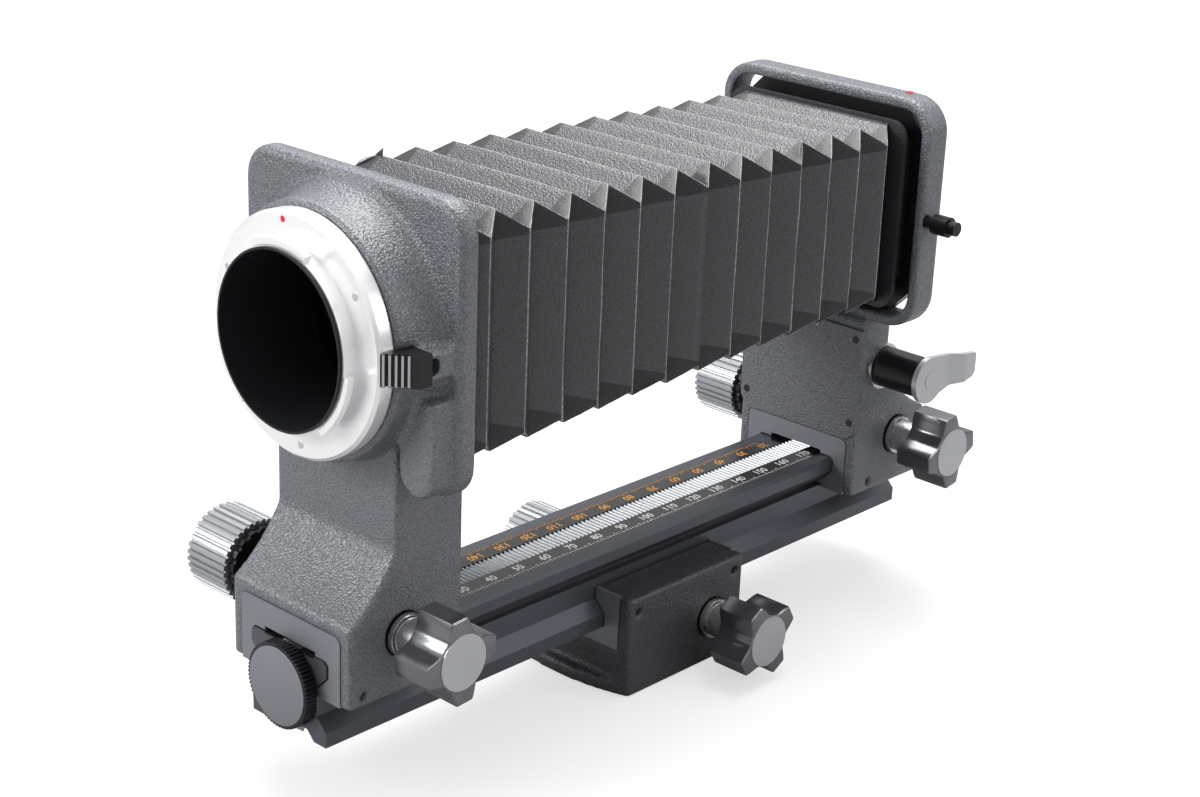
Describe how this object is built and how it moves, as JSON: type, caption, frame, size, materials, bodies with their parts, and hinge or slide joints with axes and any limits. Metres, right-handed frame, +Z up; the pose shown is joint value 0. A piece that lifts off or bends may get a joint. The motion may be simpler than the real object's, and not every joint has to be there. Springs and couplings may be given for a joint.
{
  "type": "macro bellows focusing unit",
  "caption": "Bellows focusing unit: a leather bellows between a camera standard and a lens standard that slide by rack and pinion on a scaled rail with a tripod block.",
  "frame": {"origin": "mouth of the tripod socket, in the middle of the tripod block's bottom face", "axes": "+Z up, +Y along the rail from the camera end to the lens end, +X toward the clamp knobs"},
  "size_m": [0.0974, 0.2349, 0.1563],
  "materials": {
    "cast_paint": "hammered grey-black enamel on cast aluminium",
    "satin_anodised": "bead-blasted grey anodised aluminium",
    "brass": "turned brass",
    "bright_steel": "turned steel",
    "scale_black": "black anodised strip with filled engraving",
    "black_anodised": "black anodised aluminium",
    "silver_knob": "fluted clear anodised aluminium",
    "star_grey": "moulded grey-black",
    "mount_chrome": "satin chrome",
    "bellows_leather": "pebbled black"
  },
  "bodies": {
    "tripod_block": {"tripod_block": "cast_paint", "block_end_liners": "satin_anodised", "tripod_insert": "brass", "block_bushes": "brass"},
    "rail": {"rail": "satin_anodised", "upper_rack": "bright_steel", "lower_rack": "bright_steel", "scale_strips": "scale_black"},
    "rail_drive": {"rail_drive_shaft": "bright_steel", "rail_drive_hub": "black_anodised", "rail_drive_knob": "silver_knob"},
    "rail_clamp": {"rail_clamp_star": "star_grey", "rail_clamp_cap": "star_grey", "rail_clamp_stud": "bright_steel"},
    "end_wheel": {"end_wheel": "satin_anodised", "end_wheel_stud": "bright_steel"},
    "camera_standard": {"camera_carriage": "cast_paint", "camera_end_plate": "satin_anodised", "camera_bushes": "brass", "camera_plate": "cast_paint", "bellows_rear": "bellows_leather", "bellows_rear_frame": "black_anodised"},
    "camera_drive": {"camera_drive_shaft": "bright_steel", "camera_drive_hub": "black_anodised", "camera_drive_knob": "silver_knob"},
    "camera_clamp": {"camera_clamp_star": "star_grey", "camera_clamp_cap": "star_grey", "camera_clamp_stud": "bright_steel"},
    "camera_mount": {"mount_flange": "mount_chrome", "mount_bayonet": "mount_chrome", "mount_retainer": "black_anodised", "mount_baffle": "black_anodised"},
    "mount_release": {"mount_release": "black_anodised"},
    "lens_standard": {"lens_carriage": "cast_paint", "lens_end_plate": "satin_anodised", "lens_bushes": "brass", "link_cover": "cast_paint", "cover_screws": "black_anodised", "lens_frame": "cast_paint", "lens_panel": "black_anodised", "lens_mount_ring": "mount_chrome", "lever_washer": "bright_steel", "bellows_front": "bellows_leather", "bellows_lens_frame": "bellows_leather"},
    "lens_drive": {"lens_drive_shaft": "bright_steel", "lens_drive_hub": "black_anodised", "lens_drive_knob": "silver_knob"},
    "lens_clamp": {"lens_clamp_star": "star_grey", "lens_clamp_cap": "star_grey", "lens_clamp_stud": "bright_steel"},
    "stop_down_lever": {"lever_hub": "black_anodised", "lever_blade": "satin_anodised", "lever_screw": "bright_steel"},
    "panel_latch": {"latch_tab": "black_anodised", "latch_knob": "black_anodised"}
  },
  "joints": [
    {"name": "rail_slide", "type": "slide", "parent": "tripod_block", "child": "rail", "axis": [0, 1, 0], "range_m": [-0.08, 0.092]},
    {"name": "camera_slide", "type": "slide", "parent": "rail", "child": "camera_standard", "axis": [0, 1, 0], "range_m": [0, 0.067], "deforming": ["bellows_front"]},
    {"name": "lens_slide", "type": "slide", "parent": "rail", "child": "lens_standard", "axis": [0, 1, 0], "range_m": [-0.067, 0], "deforming": ["bellows_rear"]},
    {"name": "rail_drive_turn", "type": "hinge", "parent": "tripod_block", "child": "rail_drive", "pos_m": [-0.042, 0.0108, 0.0133], "axis": [1, 0, 0], "range_deg": [-980, 850]},
    {"name": "camera_drive_turn", "type": "hinge", "parent": "camera_standard", "child": "camera_drive", "pos_m": [-0.04, -0.104, 0.0463], "axis": [1, 0, 0], "range_deg": [-720, 22]},
    {"name": "lens_drive_turn", "type": "hinge", "parent": "lens_standard", "child": "lens_drive", "pos_m": [-0.04, 0.095, 0.0463], "axis": [1, 0, 0], "range_deg": [-22, 720]},
    {"name": "rail_clamp_turn", "type": "hinge", "parent": "tripod_block", "child": "rail_clamp", "pos_m": [0.038, 0.0108, 0.0133], "axis": [1, 0, 0], "range_deg": [0, 120]},
    {"name": "camera_clamp_turn", "type": "hinge", "parent": "camera_standard", "child": "camera_clamp", "pos_m": [0.037, -0.104, 0.0463], "axis": [1, 0, 0], "range_deg": [0, 120]},
    {"name": "lens_clamp_turn", "type": "hinge", "parent": "lens_standard", "child": "lens_clamp", "pos_m": [0.037, 0.095, 0.0463], "axis": [1, 0, 0], "range_deg": [0, 120]},
    {"name": "end_wheel_turn", "type": "hinge", "parent": "rail", "child": "end_wheel", "pos_m": [0, -0.122, 0.0313], "axis": [0, 1, 0], "continuous": true},
    {"name": "mount_rotation", "type": "hinge", "parent": "camera_standard", "child": "camera_mount", "pos_m": [0, -0.112, 0.1197], "axis": [0, 1, 0], "range_deg": [0, 90]},
    {"name": "release_slide", "type": "slide", "parent": "camera_standard", "child": "mount_release", "axis": [1, 0, 0], "range_m": [0, 0.0025], "stiffness_N_per_m": 400, "springref_m": -0.001},
    {"name": "lever_turn", "type": "hinge", "parent": "lens_standard", "child": "stop_down_lever", "pos_m": [0.032, 0.0834, 0.0712], "axis": [1, 0, 0], "range_deg": [-15, 60]},
    {"name": "latch_turn", "type": "hinge", "parent": "lens_standard", "child": "panel_latch", "pos_m": [0.038, 0.0787, 0.1191], "axis": [1, 0, 0], "range_deg": [0, 75]}
  ],
  "couplings": [
    {"joint": "rail_drive_turn", "follows": "rail_slide", "rad_per_m": -181.82},
    {"joint": "camera_drive_turn", "follows": "camera_slide", "rad_per_m": -181.82},
    {"joint": "lens_drive_turn", "follows": "lens_slide", "rad_per_m": -181.82}
  ]
}
